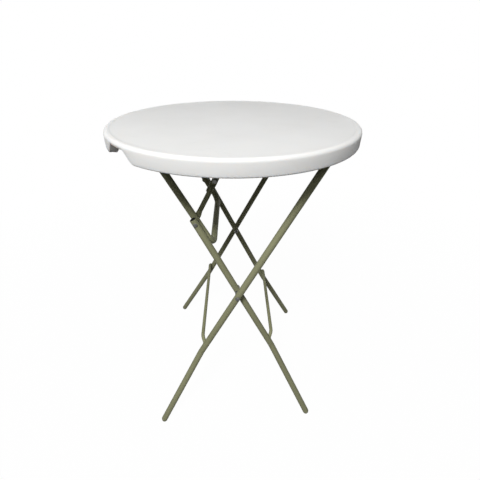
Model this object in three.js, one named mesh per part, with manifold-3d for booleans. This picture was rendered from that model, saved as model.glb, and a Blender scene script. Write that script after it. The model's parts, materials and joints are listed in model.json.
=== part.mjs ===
// Folding bar-height table: a round blow-moulded top on two crossed tubular leg frames.
// Millimetres, +Z up, floor at zero. Front is -Y, and the legs fold up to the left (-X).
import * as THREE from 'three';
import { ConvexGeometry } from 'three/addons/geometries/ConvexGeometry.js';
import { mergeVertices } from 'three/addons/utils/BufferGeometryUtils.js';
import Module from 'manifold-3d';

const wasm = await Module();
wasm.setup();

// Overall sizes
const tableHeight = 1100;
const topRadius = 400;
const gap = 0.3;
const overrun = 5;

// Top moulding
const rimDepth = 47.5;
const panelThickness = 28;
const skin = 3;
const lipRound = 10;
const hemRound = 5;
const rimDraft = 1.5;
const hemWidth = 17;
const innerDraft = 8;
const borderWidth = 15;
const borderRamp = 5;
const fieldDrop = 1.2;
const topSteps = 72;
const hollowSteps = 48;
const edgeSteps = 4;

// Grip notches in the rim
const notchPlace = 255.5;
const notchTopHalf = 24.5;
const notchFootHalf = 56.5;
const notchDepth = 30.5;
const notchReach = 48;
const notchCurveShare = 0.5;

// Tack-off dimples under the top, in rings
const dimpleRingShares = [0.24, 0.49, 0.75];
const dimpleCounts = [6, 10, 14];
const dimpleFoot = 13;
const dimpleTip = 6;
const dimpleDepth = 22;
const dimpleSteps = 8;
const ventRadius = 2.5;
const ventPlace = 150;

// Frame tubes
const tubeRadius = 11;
const tubeWall = 1.2;
const tubeSteps = 16;
const leastBendSteps = 3;
const bendStepTurn = Math.PI / 14;
const outerPlane = 230.5;
const spacerLength = 10;
const legWasherLength = 2.5;

// Legs: hinges inside the rim, the crossing as a share of the hinges' height, the inner legs' lean
// as a share of the outer legs', and the splay below the knee
const hingeDrop = 57.5;
const outerHingeInset = 136.5;
const linkHingeInset = 165.5;
const crossingX = 16.3;
const crossingRiseShare = 0.5395;
const innerLeanShare = 0.9729;
const kneeHeight = 303;
const outerSplay = 66.4;
const innerSplay = 68.8;
const kneeBend = 70;
const openEnd = 17;

// Locking link and stays
const linkTail = 107;
const linkBend = 40;
const stayRunShare = 0.495;
const stayRadius = 8;
const stayWasherLength = 3;
const stayClearance = 2;
const lugThick = 4;
const lugRadius = 10;
const lugTaper = 14;
const lugSeam = 1;
const elbowTail = 39;
const stopLength = 14;
const stopThick = 3;

// Cross rods
const rodRadius = 6.35;
const rodOffset = 19;
const rodRise = 16;
const rodBend = 20;
const rodCorner = 18;
const outerRodHeight = 338;
const innerRodHeight = 327;

// Foot plugs, worn flat where they stand
const plugStem = 24;
const plugShoulder = 3;
const plugFlat = 1;

// Fasteners
const boltRadius = 5;
const boltHead = 8;
const boltHeadHeight = 5;
const nutRadius = 8.5;
const nutHeight = 7;
const spacerRadius = 8;
const rivetRadius = 4;
const rivetHead = 7.5;
const rivetHeadHeight = 2.6;
const washerRadius = 9;
const pinSteps = 12;
const headTopShare = 0.6;
const headRimShare = 0.4;

// Hinge saddles, stay brackets and their screws
const sheet = 2.2;
const saddleWidth = 32;
const saddleFlange = 20;
const outerSaddlePlace = 110;
const linkSaddlePlace = 85;
const earThick = 3;
const earRadius = 11;
const earFlange = 28;
const earFlangeHalf = 24;
const screwRadius = 2.1;
const screwHead = 4.6;
const screwHeadHeight = 2.4;
const screwLength = 15;
const screwBoss = 6;
const screwSteps = 10;

// Planes of the frames and stays, counted inwards from the outer legs
const innerPlane = outerPlane - 2 * tubeRadius - spacerLength;
const linkPlane = innerPlane - 2 * tubeRadius - legWasherLength;
const lowerStayPlane = linkPlane - tubeRadius - stayWasherLength - stayRadius;
const upperStayPlane = lowerStayPlane - 2 * stayRadius - stayClearance;

// Heights that follow
const rimBottom = tableHeight - rimDepth;
const panelBottom = tableHeight - panelThickness;
const hingeZ = tableHeight - hingeDrop;

// The side view's joints: places are [x, z]
const point = (x, z) => new THREE.Vector2(x, z);
const outerHinge = point(topRadius - outerHingeInset, hingeZ);
const linkHinge = point(linkHingeInset - topRadius, hingeZ);
const crossing = point(crossingX, hingeZ * crossingRiseShare);
const outerRun = (outerHinge.x - crossing.x) / (outerHinge.y - crossing.y);
const innerRun = outerRun * innerLeanShare;
const outerAt = (z) => crossing.x + (z - crossing.y) * outerRun;
const innerAt = (z) => crossing.x - (z - crossing.y) * innerRun;
const outerUp = point(outerRun, 1).normalize();
const innerUp = point(-innerRun, 1).normalize();

// The pivot on the inner legs and the elbow stand where all bars lie flat when the table is folded
const outerReach = outerHinge.distanceTo(crossing);
const toLinkHinge = linkHinge.clone().sub(crossing);
const foldedRun = outerHinge.x - outerReach - linkHinge.x;
const pivotReach = (toLinkHinge.lengthSq() - foldedRun ** 2) / (2 * (foldedRun + toLinkHinge.dot(innerUp)));
const pivot = crossing.clone().addScaledVector(innerUp, pivotReach);
const foldedPivotX = linkHinge.x + foldedRun + pivotReach;
const stayHinge = point(pivot.x + (hingeZ - pivot.y) * stayRunShare, hingeZ);
const stayLength = stayHinge.distanceTo(pivot);
const upperStayLength = (stayLength - (foldedPivotX - stayHinge.x)) / 2;
const stayDown = pivot.clone().sub(stayHinge).normalize();
const elbow = stayHinge.clone().addScaledVector(stayDown, upperStayLength);

// Materials
function finish(color, roughness, metalness) {
  return new THREE.MeshStandardMaterial({ color, roughness, metalness });
}

const whitePlastic = () => finish(0xe9e9e6, 0.45, 0);
const olivePaint = () => finish(0x8c8e6e, 0.5, 0.1);
const oliveRubber = () => finish(0x7c7c60, 0.75, 0);
const zincSteel = () => finish(0xb9b9b2, 0.4, 0.8);
const greyNylon = () => finish(0x9a9a92, 0.6, 0);

const table = new THREE.Group();

function addPiece(name, geometry, material) {
  const mesh = new THREE.Mesh(geometry, material);
  mesh.name = name;
  table.add(mesh);
}

// Solids for joining and cutting
function solid(geometry) {
  const bare = geometry.clone();
  bare.deleteAttribute('normal');
  bare.deleteAttribute('uv');
  const merged = mergeVertices(bare);
  const vertProperties = new Float32Array(merged.attributes.position.array);
  const triVerts = new Uint32Array(merged.index.array);
  return new wasm.Manifold(new wasm.Mesh({ numProp: 3, vertProperties, triVerts }));
}

function faceted(body) {
  const mesh = body.getMesh();
  const geometry = new THREE.BufferGeometry();
  geometry.setAttribute('position', new THREE.BufferAttribute(mesh.vertProperties, 3));
  geometry.setIndex(new THREE.BufferAttribute(mesh.triVerts, 1));
  return geometry.toNonIndexed();
}

const joined = (bodies) => bodies.reduce((sum, body) => sum.add(body));

// A body turned about Z: profile points are [radius, height], listed from the top down
function turned(profile, steps) {
  const points = profile.map(([radius, height]) => point(radius, height));
  return new THREE.LatheGeometry(points.reverse(), steps).rotateX(Math.PI / 2);
}

// A round pin, bolt or washer on a pivot: profile heights are distances out from the middle plane
function turnedAcross(profile, place, side, steps = pinSteps) {
  const points = profile.map(([radius, height]) => point(radius, height));
  const geometry = new THREE.LatheGeometry(points.reverse(), steps);
  if (side < 0) geometry.rotateZ(Math.PI);
  return geometry.translate(place.x, 0, place.y);
}

const pin = (radius, inner, outer) => [[0, outer], [radius, outer], [radius, inner], [0, inner]];

// An outline in the XZ plane made thick along Y, from the inner to the outer distance
function slab(shape, inner, outer, side) {
  const options = { depth: outer - inner, bevelEnabled: false, curveSegments: pinSteps / 2 };
  const geometry = new THREE.ExtrudeGeometry(shape, options).rotateX(Math.PI / 2);
  return geometry.translate(0, side > 0 ? outer : -inner, 0);
}

// A path through given stations, so that a swept tube has rings just where it needs them
class StationPath extends THREE.Curve {
  constructor(stations) {
    super();
    this.stations = stations;
    this.last = stations.length - 1;
  }

  getPoint(t, target = new THREE.Vector3()) {
    const index = Math.min(Math.floor(t * this.last), this.last - 1);
    return target.lerpVectors(this.stations[index], this.stations[index + 1], t * this.last - index);
  }

  getUtoTmapping(u) {
    return u;
  }

  getTangent(t, target = new THREE.Vector3()) {
    const near = Math.round(t * this.last);
    const before = this.stations[Math.max(near, 1)].clone().sub(this.stations[Math.max(near, 1) - 1]);
    const next = Math.min(near, this.last - 1);
    const after = this.stations[next + 1].clone().sub(this.stations[next]);
    return target.copy(before.normalize()).add(after.normalize()).normalize();
  }
}

// Corners joined by straight runs and round bends
function bentPath(corners, radius) {
  const stations = [corners[0]];
  for (let i = 1; i < corners.length - 1; i += 1) {
    const before = corners[i].clone().sub(corners[i - 1]).normalize();
    const after = corners[i + 1].clone().sub(corners[i]).normalize();
    const turn = before.angleTo(after);
    const axis = before.clone().cross(after).normalize();
    const start = corners[i].clone().addScaledVector(before, -radius * Math.tan(turn / 2));
    const centre = start.clone().addScaledVector(axis.clone().cross(before), radius);
    const steps = Math.max(leastBendSteps, Math.ceil(turn / bendStepTurn));
    for (let step = 0; step <= steps; step += 1) {
      const arm = start.clone().sub(centre).applyAxisAngle(axis, (turn * step) / steps);
      stations.push(arm.add(centre));
    }
  }
  stations.push(corners[corners.length - 1]);
  return new StationPath(stations);
}

function swept(path, radius, bore = 0) {
  const section = new THREE.Shape().absarc(0, 0, radius, 0, 2 * Math.PI);
  if (bore > 0) section.holes.push(new THREE.Path().absarc(0, 0, bore, 0, 2 * Math.PI, true));
  const options = { steps: path.last, extrudePath: path, curveSegments: tubeSteps / 2 };
  return new THREE.ExtrudeGeometry(section, options);
}

const tube = (path) => solid(swept(path, tubeRadius, tubeRadius - tubeWall));
const tubeCutter = (path) => solid(swept(path, tubeRadius + gap));
const inSpace = (place, y) => new THREE.Vector3(place.x, y, place.y);

// A hole along Y through both walls of a tube
function crossHole(place, plane, radius, side) {
  const reach = tubeRadius + overrun;
  return solid(turnedAcross(pin(radius + gap, plane - reach, plane + reach), place, side));
}

// Where screws go up into the top: every bracket adds its own here
const screwPlaces = [];

// Saddle: a strap that carries a hinge tube below the top's panel
function saddleGeometry(hinge, place) {
  const inner = tubeRadius + gap;
  const outer = inner + sheet;
  const end = outer + saddleFlange;
  const top = panelBottom - gap - hinge.y;
  const strap = new THREE.Shape();
  strap.moveTo(-end, top);
  strap.lineTo(-end, top - sheet);
  strap.lineTo(-outer, top - sheet);
  strap.lineTo(-outer, 0);
  strap.absarc(0, 0, outer, Math.PI, 2 * Math.PI);
  strap.lineTo(outer, top - sheet);
  strap.lineTo(end, top - sheet);
  strap.lineTo(end, top);
  strap.lineTo(inner, top);
  strap.lineTo(inner, 0);
  strap.absarc(0, 0, inner, 2 * Math.PI, Math.PI, true);
  strap.lineTo(-inner, top);
  const half = saddleWidth / 2;
  const bar = slab(strap, -half, half, 1).translate(hinge.x, place, hinge.y);
  const holes = [-1, 1].map((hand) => {
    const x = hinge.x + hand * (outer + saddleFlange / 2);
    screwPlaces.push([x, place, panelBottom - gap - sheet]);
    return screwHole(x, place);
  });
  return faceted(solid(bar).subtract(joined(holes)));
}

function screwHole(x, y) {
  const length = screwLength + overrun;
  const cutter = turned(pin(screwRadius + gap, 0, length), screwSteps);
  return solid(cutter.translate(x, y, panelBottom - sheet - overrun));
}

// Stay bracket: an ear down beside the upper stay, and a flange screwed to the top
const earOuter = upperStayPlane - stayRadius - gap;
const earInner = earOuter - earThick;

function stayBracketGeometry(side) {
  const top = panelBottom - gap - hingeZ;
  const ear = new THREE.Shape();
  ear.moveTo(-earRadius, top);
  ear.absarc(0, 0, earRadius, Math.PI, 2 * Math.PI);
  ear.lineTo(earRadius, top);
  ear.holes.push(new THREE.Path().absarc(0, 0, rivetRadius + gap, 0, 2 * Math.PI, true));
  const earPlate = slab(ear, earInner, earOuter, side).translate(stayHinge.x, 0, hingeZ);
  const flange = new THREE.BoxGeometry(2 * earFlangeHalf, earFlange + earThick, sheet);
  const flangeY = side * (earOuter - (earFlange + earThick) / 2);
  flange.translate(stayHinge.x, flangeY, panelBottom - gap - sheet / 2);
  const screwY = side * (earInner - earFlange / 2);
  const holes = [-1, 1].map((hand) => {
    const x = stayHinge.x + hand * (earFlangeHalf / 2);
    screwPlaces.push([x, screwY, panelBottom - gap - sheet]);
    return screwHole(x, screwY);
  });
  return faceted(solid(earPlate).add(solid(flange)).subtract(joined(holes)));
}

function screwGeometry([x, y, z]) {
  const profile = [[0, screwLength], [screwRadius, screwLength - screwRadius], [screwRadius, -gap]];
  profile.push([screwHead, -gap], [screwHead * headTopShare, -screwHeadHeight], [0, -screwHeadHeight]);
  return turned(profile, screwSteps).translate(x, y, z);
}

// Top moulding: one closed outline for the outside, and the same outline inset for the hollow
function edgeArc(x, z, radius, from, to) {
  const points = [];
  for (let step = 0; step <= edgeSteps; step += 1) {
    const angle = THREE.MathUtils.degToRad(from + ((to - from) * step) / edgeSteps);
    points.push([x + radius * Math.cos(angle), z + radius * Math.sin(angle)]);
  }
  return points;
}

function topProfile(inset) {
  const hemOuter = topRadius - rimDraft - hemRound;
  const hemInner = hemOuter - hemWidth + inset;
  const fieldEdge = topRadius - borderWidth;
  return [
    [0, tableHeight - fieldDrop - inset],
    [fieldEdge - borderRamp, tableHeight - fieldDrop - inset],
    [fieldEdge, tableHeight - inset],
    ...edgeArc(topRadius - lipRound, tableHeight - lipRound, lipRound - inset, 90, 0),
    ...edgeArc(hemOuter, rimBottom + hemRound, hemRound - inset, 0, -90),
    [hemInner, rimBottom + inset],
    [hemInner - innerDraft, panelBottom + inset],
    [0, panelBottom + inset],
  ];
}

function notchCutter(side, grow) {
  const top = rimBottom + notchDepth + grow;
  const foot = rimBottom;
  const topHalf = notchTopHalf + grow;
  const footHalf = notchFootHalf + grow;
  const lean = (footHalf - topHalf) * notchCurveShare;
  const outline = new THREE.Shape();
  outline.moveTo(-footHalf, foot - overrun);
  outline.lineTo(-footHalf, foot);
  outline.bezierCurveTo(lean - footHalf, foot, -topHalf - lean, top, -topHalf, top);
  outline.lineTo(topHalf, top);
  outline.bezierCurveTo(topHalf + lean, top, footHalf - lean, foot, footHalf, foot);
  outline.lineTo(footHalf, foot - overrun);
  const options = { depth: topRadius, bevelEnabled: false, curveSegments: pinSteps / 2 };
  const prism = new THREE.ExtrudeGeometry(outline, options);
  prism.rotateX(Math.PI / 2).rotateZ(Math.PI / 2);
  prism.translate(-topRadius - overrun, side * notchPlace, 0);
  const core = turned(pin(topRadius - notchReach - grow, rimBottom - 2 * overrun, tableHeight), topSteps);
  return solid(prism).subtract(solid(core));
}

// A dimple pulled up from the underside until it meets the top skin
function dimple([x, y], grow) {
  const profile = [[0, dimpleDepth + grow], [dimpleTip + grow, dimpleDepth + grow]];
  profile.push([dimpleFoot + grow, 0], [dimpleFoot + grow, -overrun], [0, -overrun]);
  return solid(turned(profile, dimpleSteps).translate(x, y, panelBottom));
}

function dimplePlaces() {
  const places = [];
  dimpleCounts.forEach((count, ring) => {
    const radius = topRadius * dimpleRingShares[ring];
    for (let index = 0; index < count; index += 1) {
      const angle = (Math.PI * (2 * index + 1)) / count;
      places.push([radius * Math.cos(angle), radius * Math.sin(angle)]);
    }
  });
  const clear = dimpleFoot + skin + screwBoss;
  return places.filter(([x, y]) => screwPlaces.every(([sx, sy]) => Math.hypot(x - sx, y - sy) > clear));
}

function topGeometry() {
  const places = dimplePlaces();
  const sides = [-1, 1];
  const bosses = screwPlaces.map(([x, y]) => {
    const boss = turned(pin(screwBoss, panelBottom, tableHeight), screwSteps);
    return solid(boss.translate(x, y, 0));
  });
  const vents = sides.map((side) => {
    const vent = turned(pin(ventRadius, panelBottom - overrun, panelBottom + skin + overrun), screwSteps);
    return solid(vent.translate(0, side * ventPlace, 0));
  });
  const hollow = solid(turned(topProfile(skin), hollowSteps))
    .subtract(joined(sides.map((side) => notchCutter(side, skin))))
    .subtract(joined(places.map((place) => dimple(place, skin))))
    .subtract(joined(bosses));
  const outside = solid(turned(topProfile(0), topSteps))
    .subtract(joined(sides.map((side) => notchCutter(side, 0))))
    .subtract(joined(places.map((place) => dimple(place, 0))))
    .subtract(joined(screwPlaces.map(([x, y]) => screwHole(x, y))));
  return faceted(outside.subtract(hollow).subtract(joined(vents)));
}

// Leg: a straight tube down to the knee, then splayed out to the floor
function legPath(topPlace, runAt, plane, splay, side) {
  const foot = inSpace(point(runAt(0), 0), side * (plane + splay));
  const knee = inSpace(point(runAt(kneeHeight), kneeHeight), side * plane);
  return bentPath([inSpace(topPlace, side * plane), knee, foot], kneeBend);
}

// The plug's dome is a half ball on the end of the tube, whose lowest millimetre is flat
function plugPlace(path) {
  const foot = path.stations[path.last];
  const down = foot.clone().sub(path.stations[path.last - 1]).normalize();
  const ball = foot.clone().addScaledVector(down, (tubeRadius - plugFlat) / down.z);
  return { down, ball };
}

function legBody(path) {
  const { down, ball } = plugPlace(path);
  const end = ball.clone().addScaledVector(down, -plugShoulder - gap);
  return tube(new StationPath([...path.stations.slice(0, path.last), end]));
}

function footPlugGeometry(path) {
  const { down, ball } = plugPlace(path);
  const stem = tubeRadius - tubeWall - gap;
  const profile = [];
  for (let step = 0; step <= edgeSteps; step += 1) {
    const angle = (Math.PI / 2) * (step / edgeSteps);
    profile.push([tubeRadius * Math.sin(angle), tubeRadius * Math.cos(angle)]);
  }
  profile.push([tubeRadius, -plugShoulder], [stem, -plugShoulder]);
  profile.push([stem, -plugShoulder - plugStem], [0, -plugShoulder - plugStem]);
  const points = profile.map(([radius, height]) => point(radius, height));
  const plug = new THREE.LatheGeometry(points.reverse(), tubeSteps);
  plug.applyQuaternion(new THREE.Quaternion().setFromUnitVectors(new THREE.Vector3(0, 1, 0), down));
  plug.translate(ball.x, ball.y, ball.z);
  const floor = new THREE.BoxGeometry(4 * tubeRadius, 4 * tubeRadius, 2 * tubeRadius);
  floor.translate(ball.x, ball.y, -tubeRadius);
  return faceted(solid(plug).subtract(solid(floor)));
}

// Cross rod: stands off the legs' plane in the middle, and turns in and down to the legs at both ends
function rodPath(base, legUp, plane, hand) {
  const off = point(legUp.y, -legUp.x).multiplyScalar(hand * rodOffset);
  const mid = base.clone().add(off).addScaledVector(legUp, rodRise);
  const corners = [
    inSpace(base, -plane),
    inSpace(mid, -plane + rodCorner),
    inSpace(mid, plane - rodCorner),
    inSpace(base, plane),
  ];
  return bentPath(corners, rodBend);
}

function rodGeometry(path, legPaths) {
  const cutters = legPaths.map((legRun) => tubeCutter(legRun));
  return faceted(solid(swept(path, rodRadius)).subtract(joined(cutters)));
}

// Hinge tube across the top of a frame
function hingeTubePath(hinge, plane) {
  const reach = plane + tubeRadius;
  return new StationPath([inSpace(hinge, -reach), inSpace(hinge, reach)]);
}

// Stay: a round bar with flattened ends, along +X from its first pin, with its lugs beside its middle.
// Where the bar turns flat, it also runs a short way into the bar and the lug that it joins
function flattening(from, to, barY, lugY) {
  const seam = Math.sign(to - from) * lugSeam;
  const points = [];
  for (const x of [from - seam, from]) {
    for (let step = 0; step < pinSteps; step += 1) {
      const angle = (2 * Math.PI * step) / pinSteps;
      const [across, up] = [Math.cos(angle), Math.sin(angle)];
      points.push(new THREE.Vector3(x, barY + stayRadius * across, stayRadius * up));
    }
  }
  for (const x of [to, to + seam]) {
    for (const across of [-1, 1]) {
      for (const up of [-1, 1]) {
        points.push(new THREE.Vector3(x, lugY + (across * lugThick) / 2, up * lugRadius));
      }
    }
  }
  return solid(new ConvexGeometry(points));
}

function lug(from, to, lugY, side) {
  const plate = new THREE.Shape();
  plate.moveTo(to, lugRadius);
  plate.lineTo(from, lugRadius);
  plate.absarc(from, 0, lugRadius, Math.PI / 2, Math.PI * 1.5, false);
  plate.lineTo(to, -lugRadius);
  return solid(slab(plate, lugY - lugThick / 2, lugY + lugThick / 2, side));
}

const pinHole = (x, lugY, side) => {
  const profile = pin(rivetRadius + gap, lugY - lugThick, lugY + lugThick);
  return solid(turnedAcross(profile, point(x, 0), side));
};

function stayBar(from, to, barY, side) {
  const bar = new THREE.CylinderGeometry(stayRadius, stayRadius, to - from, pinSteps).rotateZ(Math.PI / 2);
  return solid(bar.translate((from + to) / 2, side * barY, 0));
}

function alongStay(body, start) {
  const angle = Math.atan2(-stayDown.y, stayDown.x);
  return faceted(body).rotateY(angle).translate(start.x, 0, start.y);
}

// Lug planes: upper and lower stay meet at the elbow, each lug on its own side of the contact plane
const elbowPlane = (upperStayPlane + lowerStayPlane) / 2;
const upperElbowLug = elbowPlane - gap / 2 - lugThick / 2;
const lowerElbowLug = elbowPlane + gap / 2 + lugThick / 2;
const upperTopLug = upperStayPlane - stayRadius + lugThick / 2;
const lowerPivotLug = lowerStayPlane + stayRadius - lugThick / 2;

function upperStayGeometry(side) {
  const end = upperStayLength;
  const bodies = [
    lug(0, lugRadius, upperTopLug, side),
    flattening(lugRadius + lugTaper, lugRadius, side * upperStayPlane, side * upperTopLug),
    stayBar(lugRadius + lugTaper, end - lugRadius - lugTaper, upperStayPlane, side),
    flattening(end - lugRadius - lugTaper, end - lugRadius, side * upperStayPlane, side * upperElbowLug),
  ];
  const tail = new THREE.Shape();
  tail.moveTo(end - lugRadius, -lugRadius);
  tail.lineTo(end + elbowTail, -lugRadius);
  tail.lineTo(end + elbowTail, lugRadius / 2);
  tail.lineTo(end + lugRadius, lugRadius);
  tail.lineTo(end - lugRadius, lugRadius);
  const tailInner = upperElbowLug - lugThick / 2;
  bodies.push(solid(slab(tail, tailInner, upperElbowLug + lugThick / 2, side)));
  const stopOuter = lowerStayPlane + stayRadius / 2;
  const stop = new THREE.BoxGeometry(stopLength, stopOuter - tailInner, stopThick);
  const stopX = end + elbowTail - stopLength / 2;
  stop.translate(stopX, (side * (tailInner + stopOuter)) / 2, -stayRadius - gap - stopThick / 2);
  bodies.push(solid(stop));
  const holes = [pinHole(0, upperTopLug, side), pinHole(end, upperElbowLug, side)];
  return alongStay(joined(bodies).subtract(joined(holes)), stayHinge);
}

function lowerStayGeometry(side) {
  const end = stayLength - upperStayLength;
  const bodies = [
    lug(0, lugRadius, lowerElbowLug, side),
    flattening(lugRadius + lugTaper, lugRadius, side * lowerStayPlane, side * lowerElbowLug),
    stayBar(lugRadius + lugTaper, end - lugRadius - lugTaper, lowerStayPlane, side),
    flattening(end - lugRadius - lugTaper, end - lugRadius, side * lowerStayPlane, side * lowerPivotLug),
    lug(-end, lugRadius - end, lowerPivotLug, side).rotate([0, 180, 0]),
  ];
  const holes = [pinHole(0, lowerElbowLug, side), pinHole(end, lowerPivotLug, side)];
  return alongStay(joined(bodies).subtract(joined(holes)), elbow);
}

// A rivet with a head at each end it shows, between two distances out from the middle plane
function rivetProfile(inner, outer, headAt) {
  const domed = rivetHeadHeight * headRimShare;
  const flat = rivetHead * headTopShare;
  const outerHead = [[0, outer + rivetHeadHeight], [flat, outer + rivetHeadHeight]];
  outerHead.push([rivetHead, outer + domed], [rivetHead, outer], [rivetRadius, outer]);
  const innerHead = [[rivetRadius, inner], [rivetHead, inner], [rivetHead, inner - domed]];
  innerHead.push([flat, inner - rivetHeadHeight], [0, inner - rivetHeadHeight]);
  const first = headAt.includes('outer') ? outerHead : [[0, outer], [rivetRadius, outer]];
  const last = headAt.includes('inner') ? innerHead : [[rivetRadius, inner], [0, inner]];
  return first.concat(last);
}

// A six-sided nut on a pivot
function nutGeometry(inner, outer, place, side) {
  const outline = new THREE.Shape();
  for (let corner = 0; corner < 6; corner += 1) {
    const angle = (corner * Math.PI) / 3;
    const [x, z] = [nutRadius * Math.cos(angle), nutRadius * Math.sin(angle)];
    if (corner === 0) outline.moveTo(x, z);
    else outline.lineTo(x, z);
  }
  outline.holes.push(new THREE.Path().absarc(0, 0, boltRadius + gap, 0, 2 * Math.PI, true));
  return slab(outline, inner, outer, side).translate(place.x, 0, place.y);
}

// A washer or spacer with clearance all round: on its pin, and between the two faces it keeps apart
function washer(radius, pinRadius, innerFace, outerFace) {
  const bore = pinRadius + gap;
  const [low, high] = [innerFace + gap, outerFace - gap];
  return [[bore, high], [radius, high], [radius, low], [bore, low], [bore, high]];
}

const outerHingePath = hingeTubePath(outerHinge, outerPlane);
const linkHingePath = hingeTubePath(linkHinge, linkPlane);
const sides = { front: -1, rear: 1 };

// Brackets first, because they say where the top needs its screw bosses
for (const [name, side] of Object.entries(sides)) {
  addPiece(`outer_hinge_saddle_${name}`, saddleGeometry(outerHinge, side * outerSaddlePlace), zincSteel());
  addPiece(`link_hinge_saddle_${name}`, saddleGeometry(linkHinge, side * linkSaddlePlace), zincSteel());
  addPiece(`stay_bracket_${name}`, stayBracketGeometry(side), zincSteel());
  const topPin = rivetProfile(earInner - gap, upperTopLug + lugThick / 2 + gap, ['inner', 'outer']);
  addPiece(`stay_bracket_pin_${name}`, turnedAcross(topPin, stayHinge, side), zincSteel());
}
screwPlaces.forEach((place, index) => {
  addPiece(`bracket_screw_${index + 1}`, screwGeometry(place), zincSteel());
});
addPiece('table_top', topGeometry(), whitePlastic());

// Frames
const outerPaths = [];
const innerPaths = [];
const innerTop = pivot.clone().addScaledVector(innerUp, openEnd);
for (const [name, side] of Object.entries(sides)) {
  const outerPath = legPath(outerHinge, outerAt, outerPlane, outerSplay, side);
  const innerPath = legPath(innerTop, innerAt, innerPlane, innerSplay, side);
  outerPaths.push(outerPath);
  innerPaths.push(innerPath);
  const outerLeg = legBody(outerPath)
    .subtract(tubeCutter(outerHingePath))
    .subtract(crossHole(crossing, outerPlane, boltRadius, side));
  addPiece(`outer_leg_${name}`, faceted(outerLeg), olivePaint());
  const innerLeg = legBody(innerPath)
    .subtract(crossHole(crossing, innerPlane, boltRadius, side))
    .subtract(crossHole(pivot, innerPlane, rivetRadius, side));
  addPiece(`inner_leg_${name}`, faceted(innerLeg), olivePaint());
  addPiece(`outer_foot_plug_${name}`, footPlugGeometry(outerPath), oliveRubber());
  addPiece(`inner_foot_plug_${name}`, footPlugGeometry(innerPath), oliveRubber());
}
addPiece('outer_hinge_tube', swept(outerHingePath, tubeRadius, tubeRadius - tubeWall), olivePaint());
const outerRod = rodPath(point(outerAt(outerRodHeight), outerRodHeight), outerUp, outerPlane, -1);
const innerRod = rodPath(point(innerAt(innerRodHeight), innerRodHeight), innerUp, innerPlane, 1);
addPiece('outer_cross_rod', rodGeometry(outerRod, outerPaths), olivePaint());
addPiece('inner_cross_rod', rodGeometry(innerRod, innerPaths), olivePaint());

// Locking link: one tube bent into a U, with its arms coped to their hinge tube
const linkDown = pivot.clone().sub(linkHinge).normalize();
const linkCorner = pivot.clone().addScaledVector(linkDown, linkTail);
const linkCorners = [
  inSpace(linkHinge, -linkPlane),
  inSpace(linkCorner, -linkPlane),
  inSpace(linkCorner, linkPlane),
  inSpace(linkHinge, linkPlane),
];
const linkHoles = Object.values(sides).map((side) => crossHole(pivot, linkPlane, rivetRadius, side));
const linkBody = tube(bentPath(linkCorners, linkBend))
  .subtract(tubeCutter(linkHingePath))
  .subtract(joined(linkHoles));
addPiece('locking_link', faceted(linkBody), olivePaint());
addPiece('link_hinge_tube', swept(linkHingePath, tubeRadius, tubeRadius - tubeWall), olivePaint());

// Stays, rivets, bolts, spacers and washers on both sides
for (const [name, side] of Object.entries(sides)) {
  addPiece(`upper_stay_${name}`, upperStayGeometry(side), olivePaint());
  addPiece(`lower_stay_${name}`, lowerStayGeometry(side), olivePaint());
  const elbowInner = upperElbowLug - lugThick / 2 - gap;
  const elbowOuter = lowerElbowLug + lugThick / 2 + gap;
  const elbowRivet = rivetProfile(elbowInner, elbowOuter, ['inner', 'outer']);
  addPiece(`elbow_rivet_${name}`, turnedAcross(elbowRivet, elbow, side), zincSteel());
  const legRivet = rivetProfile(innerPlane - tubeRadius, innerPlane + tubeRadius + gap, ['outer']);
  addPiece(`leg_pivot_rivet_${name}`, turnedAcross(legRivet, pivot, side), zincSteel());
  const linkSleeve = pin(rivetRadius, linkPlane - tubeRadius, linkPlane + tubeRadius);
  addPiece(`link_pivot_pin_${name}`, turnedAcross(linkSleeve, pivot, side), zincSteel());
  const lugInner = lowerPivotLug - lugThick / 2;
  const stayRivet = rivetProfile(lugInner - gap, lugInner + lugThick, ['inner']);
  addPiece(`stay_pivot_rivet_${name}`, turnedAcross(stayRivet, pivot, side), zincSteel());
  const legWasher = washer(washerRadius, rivetRadius, linkPlane + tubeRadius, innerPlane - tubeRadius);
  addPiece(`leg_pivot_washer_${name}`, turnedAcross(legWasher, pivot, side), greyNylon());
  const stayWasher = washer(washerRadius, rivetRadius, lowerStayPlane + stayRadius, linkPlane - tubeRadius);
  addPiece(`stay_pivot_washer_${name}`, turnedAcross(stayWasher, pivot, side), greyNylon());
  const boltSeat = outerPlane + tubeRadius + gap;
  const nutSeat = innerPlane - tubeRadius - gap;
  const boltEnd = nutSeat - nutHeight - boltRadius / 2;
  const bolt = [[0, boltSeat + boltHeadHeight], [boltHead * headTopShare, boltSeat + boltHeadHeight]];
  bolt.push([boltHead, boltSeat + boltHeadHeight * headRimShare], [boltHead, boltSeat]);
  bolt.push([boltRadius, boltSeat], [boltRadius, boltEnd], [0, boltEnd]);
  addPiece(`crossing_bolt_${name}`, turnedAcross(bolt, crossing, side), zincSteel());
  addPiece(`crossing_nut_${name}`, nutGeometry(nutSeat - nutHeight, nutSeat, crossing, side), zincSteel());
  const spacer = washer(spacerRadius, boltRadius, innerPlane + tubeRadius, outerPlane - tubeRadius);
  addPiece(`crossing_spacer_${name}`, turnedAcross(spacer, crossing, side), greyNylon());
}

export default table;
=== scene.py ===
"""Looks of a folding bar-height table: a round moulded top on two crossed frames of painted steel tube."""

import json
import math

import bmesh
import bpy
from mathutils import Matrix, Quaternion, Vector, noise


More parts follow.
